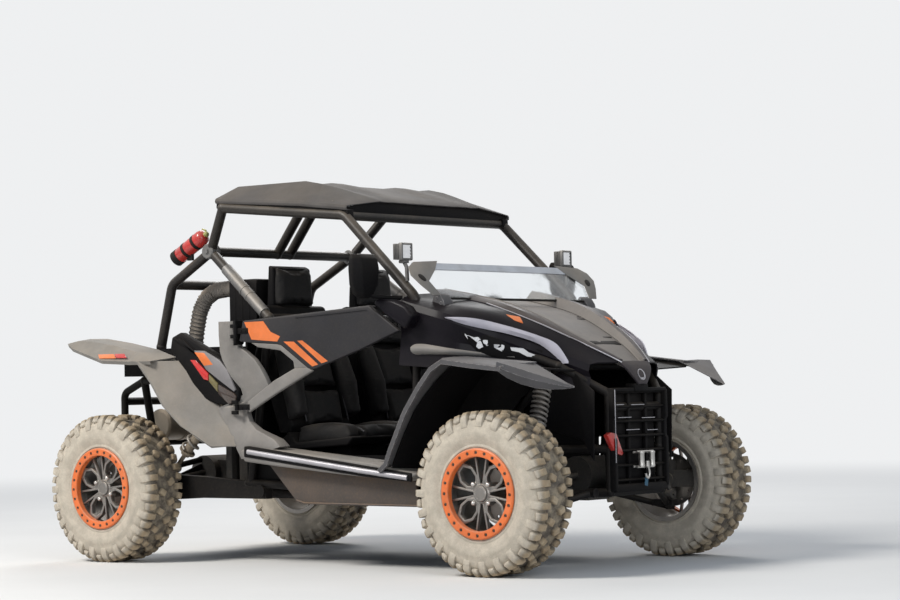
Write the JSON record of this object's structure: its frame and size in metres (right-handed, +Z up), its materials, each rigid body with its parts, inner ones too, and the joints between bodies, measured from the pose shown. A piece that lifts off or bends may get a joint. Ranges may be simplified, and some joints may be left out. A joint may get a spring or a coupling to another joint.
{
  "type": "dune buggy",
  "caption": "Two-seat side-by-side dune buggy with a tube cage, moulded roof, half doors, half windshield, wide flares, long-travel suspension and lugged off-road tyres.",
  "frame": {"origin": "on the ground, under the middle of the wheelbase and on the centre plane", "axes": "+X forward, +Y to the vehicle's left, +Z up"},
  "size_m": [2.986, 1.67, 1.765],
  "materials": {
    "frame_steel": "satin black paint, dusty",
    "cage_steel": "dark grey paint, dusty",
    "roof_plastic": "moulded dark grey plastic",
    "hood_plastic": "grey plastic under tan dust",
    "gloss_panel": "glossy black panel",
    "black_plastic": "black moulded plastic",
    "bright_steel": "bright steel",
    "flare_plastic": "matte grey plastic",
    "body_plastic": "light grey plastic under dust",
    "guard_plastic": "dark plastic with brown dust",
    "seat_cover": "black seat cover",
    "clear_screen": "clear screen",
    "shock_metal": "dusty alloy and spring steel",
    "cast_metal": "dark cast metal",
    "lamp_lens": "clear lamp lens",
    "hose_rubber": "dusty grey hose",
    "red_paint": "red paint",
    "grip_rubber": "black grip",
    "door_plastic": "dark grey door skin",
    "tyre_rubber": "dusty tyre rubber",
    "rim_alloy": "dusty grey alloy"
  },
  "bodies": {
    "chassis": {"cabin_frame": "frame_steel", "front_frame": "frame_steel", "rear_frame": "frame_steel", "cowl_panels": "gloss_panel", "roll_cage": "cage_steel", "roof_panel": "roof_plastic", "hood": "hood_plastic", "front_sides": "gloss_panel", "front_fascia": "black_plastic", "winch_fairlead": "bright_steel", "front_flares": "flare_plastic", "arch_liners": "black_plastic", "quarter_panels": "body_plastic", "sills": "body_plastic", "lower_guards": "guard_plastic", "rear_flares": "body_plastic", "tail_pods": "body_plastic", "cargo_bed": "black_plastic", "cabin_tub": "black_plastic", "seat_left": "seat_cover", "seat_right": "seat_cover", "dash": "black_plastic", "windshield": "clear_screen", "front_arms": "frame_steel", "front_shocks": "shock_metal", "rear_arms": "frame_steel", "rear_shocks": "shock_metal", "engine_block": "cast_metal", "drivetrain": "cast_metal", "exhaust": "bright_steel", "rear_bumper": "frame_steel", "headlamps": "lamp_lens", "lamp_pods": "lamp_lens", "mirrors": "black_plastic", "air_hose": "hose_rubber", "extinguisher": "red_paint"},
    "knuckle_left": {"knuckle_left": "cast_metal"},
    "door_left": {"door_left": "door_plastic"},
    "wheel_front_left": {"tyre_front_left": "tyre_rubber", "rim_front_left": "rim_alloy"},
    "wheel_rear_left": {"tyre_rear_left": "tyre_rubber", "rim_rear_left": "rim_alloy"},
    "knuckle_right": {"knuckle_right": "cast_metal"},
    "door_right": {"door_right": "door_plastic"},
    "wheel_front_right": {"tyre_front_right": "tyre_rubber", "rim_front_right": "rim_alloy"},
    "wheel_rear_right": {"tyre_rear_right": "tyre_rubber", "rim_rear_right": "rim_alloy"},
    "steering": {"steering_wheel": "grip_rubber"},
    "rack": {"steering_rack": "bright_steel"}
  },
  "joints": [
    {"name": "steering_turn", "type": "hinge", "parent": "chassis", "child": "steering", "pos_m": [0.318, 0.29, 1.062], "axis": [-0.8829, 0, 0.4695], "range_deg": [-270, 270]},
    {"name": "rack_slide", "type": "slide", "parent": "chassis", "child": "rack", "axis": [0, 1, 0], "range_m": [-0.046, 0.046]},
    {"name": "steer_left", "type": "hinge", "parent": "chassis", "child": "knuckle_left", "pos_m": [1.143, 0.6325, 0.35], "axis": [0, 0, 1], "range_deg": [-28.5, 28.5]},
    {"name": "steer_right", "type": "hinge", "parent": "chassis", "child": "knuckle_right", "pos_m": [1.143, -0.6325, 0.35], "axis": [0, 0, 1], "range_deg": [-28.5, 28.5]},
    {"name": "spin_front_left", "type": "hinge", "parent": "knuckle_left", "child": "wheel_front_left", "pos_m": [1.143, 0.6925, 0.35], "axis": [0, 1, 0], "continuous": true},
    {"name": "spin_rear_left", "type": "hinge", "parent": "chassis", "child": "wheel_rear_left", "pos_m": [-1.143, 0.6925, 0.35], "axis": [0, 1, 0], "continuous": true},
    {"name": "spin_front_right", "type": "hinge", "parent": "knuckle_right", "child": "wheel_front_right", "pos_m": [1.143, -0.6925, 0.35], "axis": [0, 1, 0], "continuous": true},
    {"name": "spin_rear_right", "type": "hinge", "parent": "chassis", "child": "wheel_rear_right", "pos_m": [-1.143, -0.6925, 0.35], "axis": [0, 1, 0], "continuous": true},
    {"name": "door_swing_left", "type": "hinge", "parent": "chassis", "child": "door_left", "pos_m": [-0.332, 0.702, 0.9], "axis": [0, 0, 1], "range_deg": [0, 70]},
    {"name": "door_swing_right", "type": "hinge", "parent": "chassis", "child": "door_right", "pos_m": [-0.332, -0.702, 0.9], "axis": [0, 0, -1], "range_deg": [0, 70]}
  ],
  "couplings": [
    {"joint": "rack_slide", "follows": "steering_turn", "m_per_rad": -0.009464},
    {"joint": "steer_left", "follows": "steering_turn", "ratio": 0.1037},
    {"joint": "steer_right", "follows": "steering_turn", "ratio": 0.1037}
  ]
}
